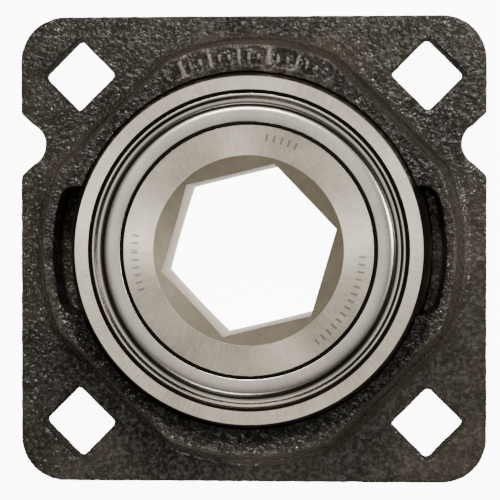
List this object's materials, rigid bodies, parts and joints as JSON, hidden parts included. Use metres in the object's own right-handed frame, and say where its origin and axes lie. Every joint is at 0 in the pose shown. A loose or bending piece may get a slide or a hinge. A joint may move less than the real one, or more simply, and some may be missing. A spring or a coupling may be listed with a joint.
{
  "type": "flange mount bearing",
  "caption": "Square cast flange with a spherical seat that holds a sealed self-aligning ball bearing with a hexagonal bore.",
  "frame": {"origin": "on the shaft axis, in the flange's flat mounting face", "axes": "+Z along the shaft axis, out of the raised front; +Y towards the two edge notches; +X through the right loading slot, seen from the front"},
  "size_m": [0.119, 0.119, 0.0313],
  "materials": {
    "casting_paint": "black paint over coarse cast iron",
    "ground_steel": "ground bearing steel",
    "pressed_steel": "pressed steel sheet",
    "cage_steel": "pressed steel sheet, unpolished",
    "ball_steel": "polished bearing steel",
    "seal_rubber": "black nitrile rubber"
  },
  "bodies": {
    "casting": {"housing": "casting_paint"},
    "outer_race": {"outer_ring": "ground_steel", "front_seal_shield": "pressed_steel", "front_seal_lip": "seal_rubber", "front_seal_backing": "pressed_steel", "rear_seal_shield": "pressed_steel", "rear_seal_lip": "seal_rubber", "rear_seal_backing": "pressed_steel"},
    "inner_race": {"inner_ring": "ground_steel"},
    "cage": {"front_cage_half": "cage_steel", "rear_cage_half": "cage_steel", "cage_rivet_01": "cage_steel", "cage_rivet_02": "cage_steel", "cage_rivet_03": "cage_steel", "cage_rivet_04": "cage_steel", "cage_rivet_05": "cage_steel", "cage_rivet_06": "cage_steel", "cage_rivet_07": "cage_steel", "cage_rivet_08": "cage_steel", "cage_rivet_09": "cage_steel", "cage_rivet_10": "cage_steel"},
    "rolling_01": {"ball_01": "ball_steel"},
    "rolling_02": {"ball_02": "ball_steel"},
    "rolling_03": {"ball_03": "ball_steel"},
    "rolling_04": {"ball_04": "ball_steel"},
    "rolling_05": {"ball_05": "ball_steel"},
    "rolling_06": {"ball_06": "ball_steel"},
    "rolling_07": {"ball_07": "ball_steel"},
    "rolling_08": {"ball_08": "ball_steel"},
    "rolling_09": {"ball_09": "ball_steel"},
    "rolling_10": {"ball_10": "ball_steel"}
  },
  "joints": [
    {"name": "seat_swivel", "type": "hinge", "parent": "casting", "child": "outer_race", "pos_m": [0, 0, 0.01619], "axis": [1, 0, 0], "range_deg": [-90, 90]},
    {"name": "inner_spin", "type": "hinge", "parent": "outer_race", "child": "inner_race", "pos_m": [0, 0, 0.01619], "axis": [0, 0, 1], "continuous": true},
    {"name": "cage_orbit", "type": "hinge", "parent": "outer_race", "child": "cage", "pos_m": [0, 0, 0.01619], "axis": [0, 0, 1], "continuous": true},
    {"name": "ball_01_roll", "type": "hinge", "parent": "cage", "child": "rolling_01", "pos_m": [0.035, 0, 0.01619], "axis": [0, 0, 1], "continuous": true},
    {"name": "ball_02_roll", "type": "hinge", "parent": "cage", "child": "rolling_02", "pos_m": [0.02832, 0.02057, 0.01619], "axis": [0, 0, 1], "continuous": true},
    {"name": "ball_03_roll", "type": "hinge", "parent": "cage", "child": "rolling_03", "pos_m": [0.01082, 0.03329, 0.01619], "axis": [0, 0, 1], "continuous": true},
    {"name": "ball_04_roll", "type": "hinge", "parent": "cage", "child": "rolling_04", "pos_m": [-0.01082, 0.03329, 0.01619], "axis": [0, 0, 1], "continuous": true},
    {"name": "ball_05_roll", "type": "hinge", "parent": "cage", "child": "rolling_05", "pos_m": [-0.02832, 0.02057, 0.01619], "axis": [0, 0, 1], "continuous": true},
    {"name": "ball_06_roll", "type": "hinge", "parent": "cage", "child": "rolling_06", "pos_m": [-0.035, 0, 0.01619], "axis": [0, 0, 1], "continuous": true},
    {"name": "ball_07_roll", "type": "hinge", "parent": "cage", "child": "rolling_07", "pos_m": [-0.02832, -0.02057, 0.01619], "axis": [0, 0, 1], "continuous": true},
    {"name": "ball_08_roll", "type": "hinge", "parent": "cage", "child": "rolling_08", "pos_m": [-0.01082, -0.03329, 0.01619], "axis": [0, 0, 1], "continuous": true},
    {"name": "ball_09_roll", "type": "hinge", "parent": "cage", "child": "rolling_09", "pos_m": [0.01082, -0.03329, 0.01619], "axis": [0, 0, 1], "continuous": true},
    {"name": "ball_10_roll", "type": "hinge", "parent": "cage", "child": "rolling_10", "pos_m": [0.02832, -0.02057, 0.01619], "axis": [0, 0, 1], "continuous": true}
  ],
  "couplings": [
    {"joint": "cage_orbit", "follows": "inner_spin", "ratio": 0.40929},
    {"joint": "ball_01_roll", "follows": "inner_spin", "ratio": -2.6652},
    {"joint": "ball_02_roll", "follows": "inner_spin", "ratio": -2.6652},
    {"joint": "ball_03_roll", "follows": "inner_spin", "ratio": -2.6652},
    {"joint": "ball_04_roll", "follows": "inner_spin", "ratio": -2.6652},
    {"joint": "ball_05_roll", "follows": "inner_spin", "ratio": -2.6652},
    {"joint": "ball_06_roll", "follows": "inner_spin", "ratio": -2.6652},
    {"joint": "ball_07_roll", "follows": "inner_spin", "ratio": -2.6652},
    {"joint": "ball_08_roll", "follows": "inner_spin", "ratio": -2.6652},
    {"joint": "ball_09_roll", "follows": "inner_spin", "ratio": -2.6652},
    {"joint": "ball_10_roll", "follows": "inner_spin", "ratio": -2.6652}
  ]
}
